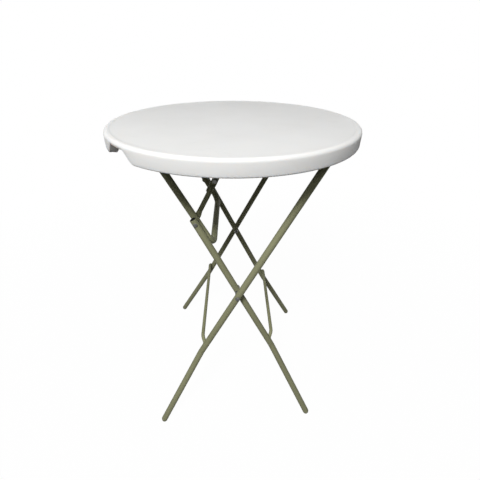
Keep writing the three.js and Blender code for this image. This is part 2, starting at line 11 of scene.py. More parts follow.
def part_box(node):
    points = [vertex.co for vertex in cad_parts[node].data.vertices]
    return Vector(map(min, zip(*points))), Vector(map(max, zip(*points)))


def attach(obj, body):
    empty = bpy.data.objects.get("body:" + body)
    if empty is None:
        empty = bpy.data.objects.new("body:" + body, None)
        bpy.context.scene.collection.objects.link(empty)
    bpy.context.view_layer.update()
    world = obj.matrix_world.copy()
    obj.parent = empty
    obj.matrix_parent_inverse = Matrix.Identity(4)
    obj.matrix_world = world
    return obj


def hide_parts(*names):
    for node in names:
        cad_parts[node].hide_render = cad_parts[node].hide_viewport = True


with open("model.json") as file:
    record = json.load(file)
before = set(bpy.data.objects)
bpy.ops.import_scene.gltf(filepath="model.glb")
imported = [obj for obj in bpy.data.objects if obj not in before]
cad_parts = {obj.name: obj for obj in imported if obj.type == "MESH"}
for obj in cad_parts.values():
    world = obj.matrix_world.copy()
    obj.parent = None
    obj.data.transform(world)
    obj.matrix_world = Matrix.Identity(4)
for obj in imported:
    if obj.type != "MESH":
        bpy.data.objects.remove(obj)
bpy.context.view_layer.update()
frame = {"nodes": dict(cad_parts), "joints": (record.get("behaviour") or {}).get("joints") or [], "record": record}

# Places and sizes read from the frame
joint_places = {j["name"]: Vector(j["pos_m"]) for j in frame["joints"]}
outer_hinge = joint_places["outer_fold"]
crossing = joint_places["inner_fold"]
link_hinge = joint_places["link_fold"]
stay_hinge = joint_places["upper_stay_fold"]
elbow = joint_places["lower_stay_fold"]
feet = {m["name"]: Vector(m["pos_m"]) for m in frame["record"]["mounts"] if m["name"].startswith("foot")}


def middle(node_name):
    low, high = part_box(node_name)
    return (low + high) / 2


def on_middle_plane(place):
    return Vector((place.x, 0, place.z))


pivot = on_middle_plane(middle("link_pivot_pin_front"))
top_low, top_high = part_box("table_top")
TOP_RADIUS = top_high.x
TABLE_HEIGHT = top_high.z
RIM_BOTTOM = top_low.z
tube_low, tube_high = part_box("outer_hinge_tube")
TUBE_RADIUS = (tube_high.z - tube_low.z) / 2
OUTER_PLANE = tube_high.y - TUBE_RADIUS
LINK_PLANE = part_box("link_hinge_tube")[1].y - TUBE_RADIUS
INNER_PLANE = TUBE_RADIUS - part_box("inner_leg_front")[1].y
GAP = 0.0003
PANEL_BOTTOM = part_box("outer_hinge_saddle_front")[1].z + GAP

# Sizes that a node's box doesn't give
KNEE_HEIGHT = 0.303
KNEE_BEND = 0.07
LINK_BEND = 0.04
TUBE_WALL = 0.0012
TUBE_BORE = TUBE_RADIUS - TUBE_WALL
OPEN_END = 0.017
ROD_RADIUS = 0.00635
ROD_RISE = 0.016
ROD_CORNER = 0.018
ROD_BEND = 0.02
STAY_RADIUS = 0.008
LOWER_STAY_PLANE = -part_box("lower_stay_front")[0].y - STAY_RADIUS
UPPER_STAY_PLANE = STAY_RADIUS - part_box("upper_stay_front")[1].y
LUG_THICK = 0.004
LUG_RADIUS = 0.01
LUG_TAPER = 0.014
SHEET = 0.0022

# Mesh fineness
TUBE_SIDES = 40
ROD_SIDES = 28
PIN_SIDES = 40
BEND_TURN = math.radians(5)
KNEE_TURN = math.radians(2)
END_EASE_SHARE = 0.06
RIM_ARC_STEPS = 8
RIM_SIDES = 288
NOTCH_SIDES = 56


# Mesh helpers
def new_object(name, mesh_build, material, smooth_angle=35):
    """An object from a bmesh, shaded smooth but for edges sharper than the angle."""
    mesh = bpy.data.meshes.new(name)
    bmesh.ops.recalc_face_normals(mesh_build, faces=mesh_build.faces)
    mesh_build.to_mesh(mesh)
    mesh_build.free()
    mesh.shade_smooth()
    mesh.set_sharp_from_angle(angle=math.radians(smooth_angle))
    obj = bpy.data.objects.new(name, mesh)
    bpy.context.scene.collection.objects.link(obj)
    mesh.materials.append(material)
    return obj


def dress(obj, node_name, body):
    """obj stands for a CAD node: it rides with its body and takes its place."""
    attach(obj, body)
    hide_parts(node_name)


def add_bead(name, build, body):
    """A weld bead has no CAD node of its own, so it only rides with its body."""
    obj = new_object(name, build, olive, 60)
    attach(obj, body)


def bridge(build, first, second):
    """Quads between two rings of the same length."""
    count = len(first)
    for index in range(count):
        following = (index + 1) % count
        build.faces.new((first[index], first[following], second[following], second[index]))


def ring_of(build, centre, across, up, section):
    return [build.verts.new(centre + across * a + up * b) for a, b in section]


def circle_section(radius, sides):
    turns = [2 * math.pi * k / sides for k in range(sides)]
    return [(radius * math.cos(t), radius * math.sin(t)) for t in turns]


def path_frames(points):
    """Each station's point and two cross directions, carried along the path without twist."""
    frames = []
    across = None
    for index, point in enumerate(points):
        before = (point - points[index - 1]).normalized() if index else None
        after = (points[index + 1] - point).normalized() if index + 1 < len(points) else None
        along = ((before or after) + (after or before)).normalized()
        if across is None:
            across = along.orthogonal()
            if abs(along.y) < 0.9:
                across = Vector((0, 1, 0))
        across = (across - along * across.dot(along)).normalized()
        frames.append((point, across, along.cross(across)))
    return frames


def bent_path(corners, radius, turn_step=BEND_TURN):
    """Straight runs joined by round bends."""
    points = [corners[0]]
    for index in range(1, len(corners) - 1):
        before = (corners[index] - corners[index - 1]).normalized()
        after = (corners[index + 1] - corners[index]).normalized()
        turn = before.angle(after)
        axis = before.cross(after).normalized()
        start = corners[index] - before * (radius * math.tan(turn / 2))
        centre = start + axis.cross(before) * radius
        steps = max(3, math.ceil(turn / turn_step))
        for step in range(steps + 1):
            points.append(centre + Quaternion(axis, turn * step / steps) @ (start - centre))
    points.append(corners[-1])
    return points


def swept_tube(points, radius, sides, bore=0.0):
    """A tube along a path, its ends eased; with a bore it is hollow, and the bore takes material 1."""
    build = bmesh.new()
    frames = path_frames(points)
    ease = radius * END_EASE_SHARE
    first_along = (points[1] - points[0]).normalized()
    last_along = (points[-1] - points[-2]).normalized()
    shifts = [first_along * ease] + [Vector()] * (len(frames) - 2) + [-last_along * ease]
    eased_section = circle_section(radius - ease, sides)
    outer = [ring_of(build, *frames[0], eased_section)]
    for (point, across, up), shift in zip(frames, shifts):
        outer.append(ring_of(build, point + shift, across, up, circle_section(radius, sides)))
    outer.append(ring_of(build, *frames[-1], eased_section))
    for first, second in zip(outer, outer[1:]):
        bridge(build, first, second)
    if bore:
        inner = [ring_of(build, *station, circle_section(bore, sides)) for station in frames]
        for first, second in zip(inner, inner[1:]):
            bridge(build, second, first)
        build.faces.ensure_lookup_table()
        for face in build.faces[-sides * (len(inner) - 1):]:
            face.material_index = 1
        bridge(build, inner[0], outer[0])
        bridge(build, outer[-1], inner[-1])
    else:
        build.faces.new(outer[0])
        build.faces.new(outer[-1])
    return build


def lathe(profile, sides, axis_place=Vector(), direction=Vector((0, 0, 1))):
    """A body turned about an axis; profile points are (radius, height), and a radius of zero is a pole."""
    build = bmesh.new()
    turn = Vector((0, 0, 1)).rotation_difference(direction)
    rings = []
    for radius, height in profile:
        if radius == 0:
            rings.append([build.verts.new(axis_place + turn @ Vector((0, 0, height)))])
            continue
        points = [Vector((x, y, height)) for x, y in circle_section(radius, sides)]
        rings.append([build.verts.new(axis_place + turn @ p) for p in points])
    for first, second in zip(rings, rings[1:]):
        if len(first) == 1 or len(second) == 1:
            pole, rim = (first[0], second) if len(first) == 1 else (second[0], first)
            for index in range(sides):
                build.faces.new((pole, rim[index], rim[(index + 1) % sides]))
        else:
            bridge(build, first, second)
    if len(rings[0]) > 1 and profile[0] != profile[-1]:
        build.faces.new(rings[0])
        build.faces.new(rings[-1])
    if profile[0] == profile[-1]:
        bmesh.ops.remove_doubles(build, verts=build.verts, dist=1e-7)
    return build


def arc(centre_radius, centre_height, radius, start, end, steps):
    """Profile points round an arc, its angles in degrees."""
    points = []
    for step in range(steps + 1):
        angle = math.radians(start + (end - start) * step / steps)
        points.append((centre_radius + radius * math.cos(angle), centre_height + radius * math.sin(angle)))
    return points


def plate(outline, y_from, y_to, bevel):
    """An outline in the XZ plane made thick along Y, with eased edges."""
    build = bmesh.new()
    front = [build.verts.new((x, y_from, z)) for x, z in outline]
    back = [build.verts.new((x, y_to, z)) for x, z in outline]
    bridge(build, front, back)
    build.faces.new(front)
    build.faces.new(back)
    bmesh.ops.recalc_face_normals(build, faces=build.faces)
    if bevel:
        rims = [e for e in build.edges if len({round(v.co.y, 6) for v in e.verts}) == 1]
        bmesh.ops.bevel(build, geom=rims, offset=bevel, segments=2, affect="EDGES", clamp_overlap=True)
    return build


def merged(builds):
    """One bmesh holding several."""
    whole = bmesh.new()
    for build in builds:
        mesh = bpy.data.meshes.new("part")
        build.to_mesh(mesh)
        build.free()
        whole.from_mesh(mesh)
        bpy.data.meshes.remove(mesh)
    return whole


# Material helpers
def new_material(name, color, roughness, metallic=0.0, specular=0.3):
    material = bpy.data.materials.new(name)
    material.use_nodes = True
    shader = material.node_tree.nodes["Principled BSDF"]
    shader.inputs["Base Color"].default_value = (*color, 1)
    shader.inputs["Roughness"].default_value = roughness
    shader.inputs["Metallic"].default_value = metallic
    shader.inputs["Specular IOR Level"].default_value = specular
    return material, shader


def node(tree, kind, **values):
    made = tree.nodes.new(kind)
    for key, value in values.items():
        if key in made.inputs:
            made.inputs[key].default_value = value
        else:
            setattr(made, key, value)
    return made


def noise_node(tree, scale, detail=4.0, roughness=0.55, stretch=None):
    """A noise texture in object space, in cycles per metre, stretched along an axis if asked."""
    place = node(tree, "ShaderNodeTexCoord")
    mapping = node(tree, "ShaderNodeMapping")
    mapping.inputs["Scale"].default_value = stretch or (1, 1, 1)
    texture = node(tree, "ShaderNodeTexNoise", Scale=scale, Detail=detail, Roughness=roughness)
    tree.links.new(place.outputs["Object"], mapping.inputs["Vector"])
    tree.links.new(mapping.outputs["Vector"], texture.inputs["Vector"])
    return texture


def ramp(tree, source, stops):
    """The colour of a ramp over a factor; stops are (place, colour)."""
    made = node(tree, "ShaderNodeValToRGB")
    elements = made.color_ramp.elements
    while len(elements) < len(stops):
        elements.new(0.5)
    for element, (place, color) in zip(elements, stops):
        element.position = place
        element.color = (*color, 1)
    tree.links.new(source, made.inputs["Fac"])
    return made.outputs["Color"]


def grey(level):
    return (level, level, level)


def shade(color, factor):
    return tuple(min(1, c * factor) for c in color)


def mix_color(tree, factor, first, second):
    """first where the factor is 0, second where it is 1; each is a colour or a socket."""
    made = node(tree, "ShaderNodeMix", data_type="RGBA")
    for socket, value in ((made.inputs[0], factor), (made.inputs[6], first), (made.inputs[7], second)):
        if isinstance(value, bpy.types.NodeSocket):
            tree.links.new(value, socket)
        elif isinstance(value, tuple):
            socket.default_value = (*value, 1)
        else:
            socket.default_value = value
    return made.outputs[2]


def math_node(tree, operation, *values):
    made = node(tree, "ShaderNodeMath", operation=operation)
    for socket, value in zip(made.inputs, values):
        if isinstance(value, bpy.types.NodeSocket):
            tree.links.new(value, socket)
        else:
            socket.default_value = value
    return made.outputs[0]


def bump_chain(tree, shader, layers):
    """Bumps laid one on another; each layer is (height socket, distance in metres, strength)."""
    normal = None
    for height, distance, strength in layers:
        bump = node(tree, "ShaderNodeBump", Distance=distance, Strength=strength)
        tree.links.new(height, bump.inputs["Height"])
        if normal:
            tree.links.new(normal, bump.inputs["Normal"])
        normal = bump.outputs["Normal"]
    tree.links.new(normal, shader.inputs["Normal"])


def moulded_white():
    """White blow-moulded plastic: fine pebble grain, soft waviness, faint scuffs and handling marks."""
    material, shader = new_material("moulded_white", (0.8, 0.8, 0.79), 0.5, specular=0.05)
    shader.inputs["Subsurface Weight"].default_value = 0.7
    shader.inputs["Subsurface Radius"].default_value = (1.0, 0.92, 0.84)
    shader.inputs["Subsurface Scale"].default_value = 0.014
    tree = material.node_tree
    clouds = noise_node(tree, 3.2, 3).outputs["Fac"]
    grime = noise_node(tree, 16, 6, 0.65).outputs["Fac"]
    streaks = noise_node(tree, 40, 3, 0.6, stretch=(1, 9, 1)).outputs["Fac"]
    tone = ramp(tree, clouds, [(0.3, (0.775, 0.775, 0.76)), (0.7, (0.825, 0.825, 0.815))])
    dirt = ramp(tree, grime, [(0.62, grey(0)), (0.82, grey(0.32))])
    scuff = ramp(tree, streaks, [(0.71, grey(0)), (0.76, grey(0.3))])
    color = mix_color(tree, dirt, tone, (0.66, 0.655, 0.63))
    color = mix_color(tree, scuff, color, (0.6, 0.6, 0.585))
    tree.links.new(color, shader.inputs["Base Color"])
    tree.links.new(ramp(tree, grime, [(0.3, grey(0.42)), (0.75, grey(0.56))]), shader.inputs["Roughness"])
    grain = noise_node(tree, 620, 2, 0.5).outputs["Fac"]
    waves = noise_node(tree, 9, 2, 0.4).outputs["Fac"]
    bump_chain(tree, shader, [(waves, 0.0012, 0.35), (grain, 0.00018, 0.35), (streaks, 0.00008, 0.2)])
    return material


def painted_steel():
    """Olive-grey powder coat: orange peel, slow tone changes, rubbed spots and a few small chips."""
    color = (0.262, 0.265, 0.157)
    material, shader = new_material("olive_paint", color, 0.44, specular=0.07)
    tree = material.node_tree
    clouds = noise_node(tree, 7, 3).outputs["Fac"]
    rub = noise_node(tree, 70, 5, 0.6).outputs["Fac"]
    specks = noise_node(tree, 420, 2, 0.5).outputs["Fac"]
    chips = noise_node(tree, 95, 3, 0.7).outputs["Fac"]
    tone = ramp(tree, clouds, [(0.32, shade(color, 0.93)), (0.68, shade(color, 1.06))])
    rubbed = ramp(tree, rub, [(0.66, grey(0)), (0.82, grey(0.15))])
    chipped = ramp(tree, chips, [(0.775, grey(0)), (0.785, grey(0.7))])
    worn = mix_color(tree, rubbed, tone, shade(color, 1.25))
    worn = mix_color(tree, chipped, worn, (0.13, 0.12, 0.09))
    tree.links.new(worn, shader.inputs["Base Color"])
    tree.links.new(ramp(tree, rub, [(0.35, grey(0.4)), (0.7, grey(0.54))]), shader.inputs["Roughness"])
    bump_chain(tree, shader, [(specks, 0.00012, 0.12), (chips, 0.0001, 0.12)])
    return material


def zinc_plated(name, tone):
    """Dulled zinc-plated steel: cloudy grey with fine drawing lines."""
    color = (tone, tone, tone * 0.94)
    material, shader = new_material(name, color, 0.5, metallic=0.2, specular=0.15)
    tree = material.node_tree
    clouds = noise_node(tree, 130, 5, 0.6).outputs["Fac"]
    lines = noise_node(tree, 500, 2, 0.5, stretch=(1, 1, 0.1)).outputs["Fac"]
    cloudy = ramp(tree, clouds, [(0.3, shade(color, 0.86)), (0.7, shade(color, 1.14))])
    tree.links.new(cloudy, shader.inputs["Base Color"])
    tree.links.new(ramp(tree, clouds, [(0.3, grey(0.42)), (0.7, grey(0.58))]), shader.inputs["Roughness"])
    bump_chain(tree, shader, [(lines, 0.00006, 0.3)])
    return material


def moulded_plastic(name, color, roughness):
    """Small moulded plastic part: slight tone change and fine matt grain."""
    material, shader = new_material(name, color, roughness)
    tree = material.node_tree
    clouds = noise_node(tree, 90, 4).outputs["Fac"]
    grain = noise_node(tree, 900, 2).outputs["Fac"]
    cloudy = ramp(tree, clouds, [(0.3, shade(color, 0.85)), (0.7, shade(color, 1.1))])
    tree.links.new(cloudy, shader.inputs["Base Color"])
    bump_chain(tree, shader, [(grain, 0.00012, 0.3)])
    return material


white_top = moulded_white()
olive = painted_steel()
zinc = zinc_plated("zinc_plated", 0.36)
aged_zinc = zinc_plated("aged_zinc", 0.13)
# Tube bores: near black, painted shade inside the open tube ends and hinge tubes.
bore_painted_shade = moulded_plastic("bore_painted_shade", (0.012, 0.012, 0.01), 0.9)
plug_plastic = moulded_plastic("olive_plug", (0.2, 0.2, 0.125), 0.6)
# Nylon washers and spacers, near black: painted shade for the contact shadow where the crossed legs meet.
shade_dark_nylon = moulded_plastic("grey_nylon", (0.09, 0.09, 0.08), 0.55)

# Top moulding: the same outline as the CAD's, with finer arcs
LIP_ROUND = 0.01
BORDER_STEPS = 6
FIELD_RING_SHARES = (0.8, 0.55, 0.3, 0.1)
HEM_ROUND = 0.005
RIM_DRAFT = 0.0015
HEM_WIDTH = 0.017
INNER_DRAFT = 0.008
BORDER_WIDTH = 0.015
BORDER_RAMP = 0.005
FIELD_DROP = 0.0012
NOTCH_PLACE = 0.2555
NOTCH_TOP_HALF = 0.0245
NOTCH_FOOT_HALF = 0.0565
NOTCH_DEPTH = 0.0305
NOTCH_REACH = 0.048
NOTCH_EASE = 0.004
NOTCH_MARGINS = (0.03, 0.2)
DIMPLE_RING_SHARES = (0.24, 0.49, 0.75)
DIMPLE_COUNTS = (6, 10, 14)
DIMPLE_FOOT = 0.013
DIMPLE_TIP = 0.006
DIMPLE_DEPTH = 0.022
DIMPLE_LIP = 0.002
DIMPLE_CLEAR = 0.022
DIMPLE_SIDES = 28
SCREW_COUNT = 12
VENT_RADIUS = 0.0025
VENT_PLACE = 0.15


def smoothstep(value):
    value = min(max(value, 0.0), 1.0)
    return value * value * (3 - 2 * value)


def notch_lift(x, y):
    """How far the rim's lower edge is raised at a place on plan."""
    if x > 0:
        return 0.0
    away = abs(abs(y) - NOTCH_PLACE)
    return NOTCH_DEPTH * smoothstep((NOTCH_FOOT_HALF - away) / (NOTCH_FOOT_HALF - NOTCH_TOP_HALF))


def rim_angles():
    """Angles round the rim, closer together where the notches are."""
    notch_from = math.asin((NOTCH_PLACE - NOTCH_FOOT_HALF) / TOP_RADIUS) - NOTCH_MARGINS[0]
    notch_to = math.asin((NOTCH_PLACE + NOTCH_FOOT_HALF) / TOP_RADIUS) + NOTCH_MARGINS[1]
    spans = [(-math.pi + notch_from, -math.pi + notch_to), (math.pi - notch_to, math.pi - notch_from)]
    angles = []
    for step in range(RIM_SIDES):
        angle = -math.pi + 2 * math.pi * step / RIM_SIDES
        if all(not low < angle < high for low, high in spans):
            angles.append(angle)
    for low, high in spans:
        angles.extend(low + (high - low) * k / NOTCH_SIDES for k in range(NOTCH_SIDES + 1))
    return sorted(angles)


def rim_profile(angle):
    """Profile points (radius, height) at one angle round the top, from the field's edge to the panel."""
    wall_radius = TOP_RADIUS - RIM_DRAFT
    hem_outer = wall_radius - HEM_ROUND
    hem_inner = hem_outer - HEM_WIDTH
    field = TABLE_HEIGHT - FIELD_DROP
    field_edge = TOP_RADIUS - BORDER_WIDTH
    points = [(field_edge - BORDER_RAMP * 3, field), (field_edge - BORDER_RAMP, field)]
    for step in range(1, BORDER_STEPS):
        share = step / BORDER_STEPS
        points.append((field_edge - BORDER_RAMP * (1 - share), field + FIELD_DROP * smoothstep(share)))
    points.append((field_edge, TABLE_HEIGHT))
    points += arc(TOP_RADIUS - LIP_ROUND, TABLE_HEIGHT - LIP_ROUND, LIP_ROUND, 90, 0, RIM_ARC_STEPS)
    lift = notch_lift(hem_outer * math.cos(angle), hem_outer * math.sin(angle))
    hem_arc = arc(hem_outer, RIM_BOTTOM + HEM_ROUND, HEM_ROUND, 0, -90, RIM_ARC_STEPS)
    points += [(r, z + lift) for r, z in hem_arc]
    inner_lift = notch_lift(hem_inner * math.cos(angle), hem_inner * math.sin(angle))
    hem = RIM_BOTTOM + inner_lift
    wall_top = hem_inner - INNER_DRAFT
    points += [(hem_inner + NOTCH_EASE, hem), (hem_inner + NOTCH_EASE * 0.3, hem + NOTCH_EASE * 0.1)]
    ceiling = max(hem, PANEL_BOTTOM)
    points += [(hem_inner - NOTCH_EASE * 0.3, min(hem + NOTCH_EASE * 0.7, ceiling))]
    points += [(wall_top + NOTCH_EASE * 0.4, max(ceiling - NOTCH_EASE * 0.7, min(hem, ceiling)))]
    points += [(wall_top, ceiling), (wall_top - NOTCH_EASE, ceiling)]
    pocket = TOP_RADIUS - NOTCH_REACH
    rise = ceiling - PANEL_BOTTOM
    points += [(pocket + NOTCH_EASE, ceiling), (pocket + NOTCH_EASE * 0.3, ceiling - rise * 0.3)]
    points += [(pocket, PANEL_BOTTOM + rise * 0.15), (pocket - NOTCH_EASE * 0.5, PANEL_BOTTOM)]
    return points


def dimple_places():
    """The dimples' centres, leaving out those that would meet a bracket's screw."""
    screws = [middle(f"bracket_screw_{k + 1}") for k in range(SCREW_COUNT)]
    places = []
    for share, count in zip(DIMPLE_RING_SHARES, DIMPLE_COUNTS):
        for index in range(count):
            angle = math.pi * (2 * index + 1) / count
            place = Vector((TOP_RADIUS * share * math.cos(angle), TOP_RADIUS * share * math.sin(angle), 0))
            if all((place.xy - s.xy).length > DIMPLE_CLEAR for s in screws):
                places.append(place)
    return places


def funnel(build, place, profile, sides):
    """A blind hole up from the panel; returns its mouth's edges."""
    rings = []
    for radius, height in profile:
        section = circle_section(radius, sides)
        rings.append([build.verts.new((place.x + x, place.y + y, height)) for x, y in section])
    for first, second in zip(rings, rings[1:]):
        bridge(build, first, second)
    build.faces.new(rings[-1])
    return [build.edges.get((a, b)) for a, b in zip(rings[0], rings[0][1:] + rings[0][:1])]


def build_top():
    build = bmesh.new()
    columns = []
    for angle in rim_angles():
        profile = rim_profile(angle)
        columns.append([build.verts.new((r * math.cos(angle), r * math.sin(angle), z)) for r, z in profile])
    for first, second in zip(columns, columns[1:] + columns[:1]):
        for index in range(len(first) - 1):
            build.faces.new((first[index], second[index], second[index + 1], first[index + 1]))
    field_rim = [c[0] for c in columns]
    rings = [field_rim]
    for share in FIELD_RING_SHARES:
        rings.append([build.verts.new((v.co.x * share, v.co.y * share, v.co.z)) for v in field_rim])
        bridge(build, rings[-2], rings[-1])
    build.faces.new(rings[-1])
    panel_rim = [c[-1] for c in columns]
    edges = [build.edges.get((a, b)) for a, b in zip(panel_rim, panel_rim[1:] + panel_rim[:1])]
    dimple_profile = [
        (DIMPLE_FOOT + DIMPLE_LIP, PANEL_BOTTOM),
        (DIMPLE_FOOT + DIMPLE_LIP * 0.4, PANEL_BOTTOM + DIMPLE_LIP * 0.12),
        (DIMPLE_FOOT, PANEL_BOTTOM + DIMPLE_LIP * 0.6),
        (DIMPLE_TIP + DIMPLE_LIP * 0.5, PANEL_BOTTOM + DIMPLE_DEPTH - DIMPLE_LIP),
        (DIMPLE_TIP - DIMPLE_LIP * 0.5, PANEL_BOTTOM + DIMPLE_DEPTH),
    ]
    for place in dimple_places():
        edges += funnel(build, place, dimple_profile, DIMPLE_SIDES)
    vent = [(VENT_RADIUS, PANEL_BOTTOM), (VENT_RADIUS, PANEL_BOTTOM + VENT_RADIUS * 3)]
    for side in (-1, 1):
        edges += funnel(build, Vector((0, side * VENT_PLACE, 0)), vent, DIMPLE_SIDES)
    bmesh.ops.triangle_fill(build, use_beauty=True, edges=edges)
    return build


top = new_object("top_moulding", build_top(), white_top, 50)
dress(top, "table_top", "tabletop")


# Frames: each leg is a tube down to the knee, then splayed to its foot
PLUG_BACK = 0.0005
PLUG_SPIGOT = 0.02
PLUG_COLLAR = 0.0032
PLUG_EASE = 0.0004
WELD_SIZE = 0.0016
ROD_WELD_SIZE = 0.0013
WELD_START = 0.03
WELD_SWELL = 0.25
WELD_STEP = 0.0004
WELD_TRIES = 400
WELD_STATIONS = 48
WELD_SIDES = 10


def at_height(foot, via, height):
    """The place on a leg's side-view line at a height, from its foot's x and the crossing."""
    share = (height - foot.z) / (via.z - foot.z)
    return foot.x + (via.x - foot.x) * share


def leg_path(top_place, foot, plane):
    knee = Vector((at_height(foot, crossing, KNEE_HEIGHT), plane, KNEE_HEIGHT))
    ball = foot + (knee - foot).normalized() * (TUBE_RADIUS + PLUG_BACK)
    return bent_path([Vector((top_place.x, plane, top_place.z)), knee, ball], KNEE_BEND, KNEE_TURN)


def weld_bead(place, along, radius, host_place, host_along, size, seed):
    """A bead round the line where a round bar meets a round tube."""
    build = bmesh.new()
    along = along.normalized()
    host_along = host_along.normalized()
    across = along.orthogonal().normalized()
    up = along.cross(across)
    line = []
    for x, y in circle_section(radius, WELD_STATIONS):
        point = place + across * x + up * y
        for _ in range(WELD_TRIES):
            offset = point - host_place
            if (offset - host_along * offset.dot(host_along)).length <= TUBE_RADIUS:
                break
            point = point + along * WELD_STEP
        line.append(point)
    rings = []
    for index, point in enumerate(line):
        tangent = (line[(index + 1) % len(line)] - line[index - 1]).normalized()
        out = (point - place - along * (point - place).dot(along)).normalized()
        out = (out - tangent * out.dot(tangent)).normalized()
        side = tangent.cross(out)
        swell = size * (1 + WELD_SWELL * noise.noise(Vector((index * 0.5, seed, 3.1))))
        rings.append(ring_of(build, point, out, side, circle_section(swell, WELD_SIDES)))
    for first, second in zip(rings, rings[1:] + rings[:1]):
        bridge(build, first, second)
    return build


leg_sides = {"front": -1, "rear": 1}
across_all = Vector((0, 1, 0))
inner_top = pivot + (pivot - on_middle_plane(crossing)).normalized() * OPEN_END


def mirrored(place, side):
    return Vector((place.x, abs(place.y) * side, place.z))


for side_name, side in leg_sides.items():
    outer_foot = mirrored(feet["foot_front_left"], side)
    inner_foot = mirrored(feet["foot_front_right"], side)
    outer_line = leg_path(outer_hinge, outer_foot, side * OUTER_PLANE)
    inner_line = leg_path(inner_top, inner_foot, side * INNER_PLANE)
    outer_build = swept_tube(outer_line, TUBE_RADIUS, TUBE_SIDES)
    outer_leg = new_object(f"outer_tube_{side_name}", outer_build, olive)
    dress(outer_leg, f"outer_leg_{side_name}", "outer_frame")
    inner_build = swept_tube(inner_line, TUBE_RADIUS, TUBE_SIDES, TUBE_BORE)
    inner_leg = new_object(f"inner_tube_{side_name}", inner_build, olive)
    inner_leg.data.materials.append(bore_painted_shade)
    dress(inner_leg, f"inner_leg_{side_name}", "inner_frame")
    leg_top = outer_line[0]
    start = leg_top + (outer_line[1] - leg_top).normalized() * WELD_START
    bead = weld_bead(start, leg_top - start, TUBE_RADIUS, leg_top, across_all, WELD_SIZE, side)
    add_bead(f"outer_weld_{side_name}", bead, "outer_frame")
    for kind, line, body in (("outer", outer_line, "outer_frame"), ("inner", inner_line, "inner_frame")):
        ball = line[-1]
        down = (line[-1] - line[-2]).normalized()
        spigot = TUBE_BORE - GAP
        dome = [(0, -PLUG_SPIGOT), (spigot, -PLUG_SPIGOT), (spigot, -PLUG_COLLAR)]
        dome += [(TUBE_RADIUS - PLUG_EASE, -PLUG_COLLAR), (TUBE_RADIUS, PLUG_EASE - PLUG_COLLAR)]
        dome += [(TUBE_RADIUS, -PLUG_EASE)] + arc(0, 0, TUBE_RADIUS, 2, 88, 18) + [(0, TUBE_RADIUS)]
        plug_build = lathe(dome, TUBE_SIDES, ball, down)
        for vert in plug_build.verts:
            vert.co.z = max(vert.co.z, 0)
        plug = new_object(f"{kind}_plug_{side_name}", plug_build, plug_plastic, 40)
        dress(plug, f"{kind}_foot_plug_{side_name}", body)


def rod_path(rod_node, leg_at, plane, hand):
    """The cross rod's path: its middle at the outer, upper edge of its box, its ends lower on the legs."""
    low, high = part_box(rod_node)
    x = (low.x + ROD_RADIUS) if hand < 0 else (high.x - ROD_RADIUS)
    mid = Vector((x, 0, high.z - ROD_RADIUS))
    legs_up = (crossing - leg_at).normalized()
    base = leg_at + legs_up * ((mid - leg_at).dot(legs_up) - ROD_RISE)
    corners = [
        Vector((base.x, -plane, base.z)),
        Vector((mid.x, -plane + ROD_CORNER, mid.z)),
        Vector((mid.x, plane - ROD_CORNER, mid.z)),
        Vector((base.x, plane, base.z)),
    ]
    return bent_path(corners, ROD_BEND)


for kind, foot_name, plane, hand, body in (
    ("outer", "foot_front_left", OUTER_PLANE, -1, "outer_frame"),
    ("inner", "foot_front_right", INNER_PLANE, 1, "inner_frame"),
):
    foot = feet[foot_name]
    knee = Vector((at_height(foot, crossing, KNEE_HEIGHT), 0, KNEE_HEIGHT))
    path = rod_path(f"{kind}_cross_rod", knee, plane, hand)
    rod = new_object(f"{kind}_rod", swept_tube(path, ROD_RADIUS, ROD_SIDES), olive)
    dress(rod, f"{kind}_cross_rod", body)
    legs_up = on_middle_plane(crossing - knee)
    for end, (start, towards) in enumerate(((path[1], path[0]), (path[-2], path[-1]))):
        bead = weld_bead(start, towards - start, ROD_RADIUS, towards, legs_up, ROD_WELD_SIZE, end + hand)
        add_bead(f"{kind}_rod_weld_{end + 1}", bead, body)

for name, hinge, plane, body in (
    ("outer_hinge_tube", outer_hinge, OUTER_PLANE, "outer_frame"),
    ("link_hinge_tube", link_hinge, LINK_PLANE, "link_frame"),
):
    reach = plane + TUBE_RADIUS
    line = [Vector((hinge.x, -reach, hinge.z)), Vector((hinge.x, reach, hinge.z))]
    cross_tube = new_object(f"{name}_fine", swept_tube(line, TUBE_RADIUS, TUBE_SIDES, TUBE_BORE), olive)
    cross_tube.data.materials.append(bore_painted_shade)
    dress(cross_tube, name, body)

# Locking link
link_down = (pivot - link_hinge).normalized()
link_tail = (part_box("locking_link")[1].x - TUBE_RADIUS - pivot.x) / link_down.x
link_corner = pivot + link_down * link_tail
link_corners = [
    Vector((link_hinge.x, -LINK_PLANE, link_hinge.z)),
    Vector((link_corner.x, -LINK_PLANE, link_corner.z)),
    Vector((link_corner.x, LINK_PLANE, link_corner.z)),
    Vector((link_hinge.x, LINK_PLANE, link_hinge.z)),
]
link_build = swept_tube(bent_path(link_corners, LINK_BEND), TUBE_RADIUS, TUBE_SIDES)
link = new_object("locking_link_fine", link_build, olive)
dress(link, "locking_link", "link_frame")
for side_name, side in leg_sides.items():
    axis_place = Vector((link_hinge.x, side * LINK_PLANE, link_hinge.z))
    start = axis_place + link_down * WELD_START
    bead = weld_bead(start, -link_down, TUBE_RADIUS, axis_place, across_all, WELD_SIZE, side * 2)
    add_bead(f"link_weld_{side_name}", bead, "link_frame")


# Stays: round bars whose ends are pressed flat into lugs
LUG_TURNS = (3, 15, 30, 45, 60, 75, 90)
TAPER_STEPS = 10
BAR_STEPS = 6
LUG_SQUARENESS = 5
ELBOW_TAIL = 0.039
TAIL_BACKS = (0.004, 0.0012, 0)
TAIL_EASE = 0.002
TAIL_EASE_SHARE = 0.85
STOP_LENGTH = 0.014
STOP_THICK = 0.003
STOP_EASE = 0.0012


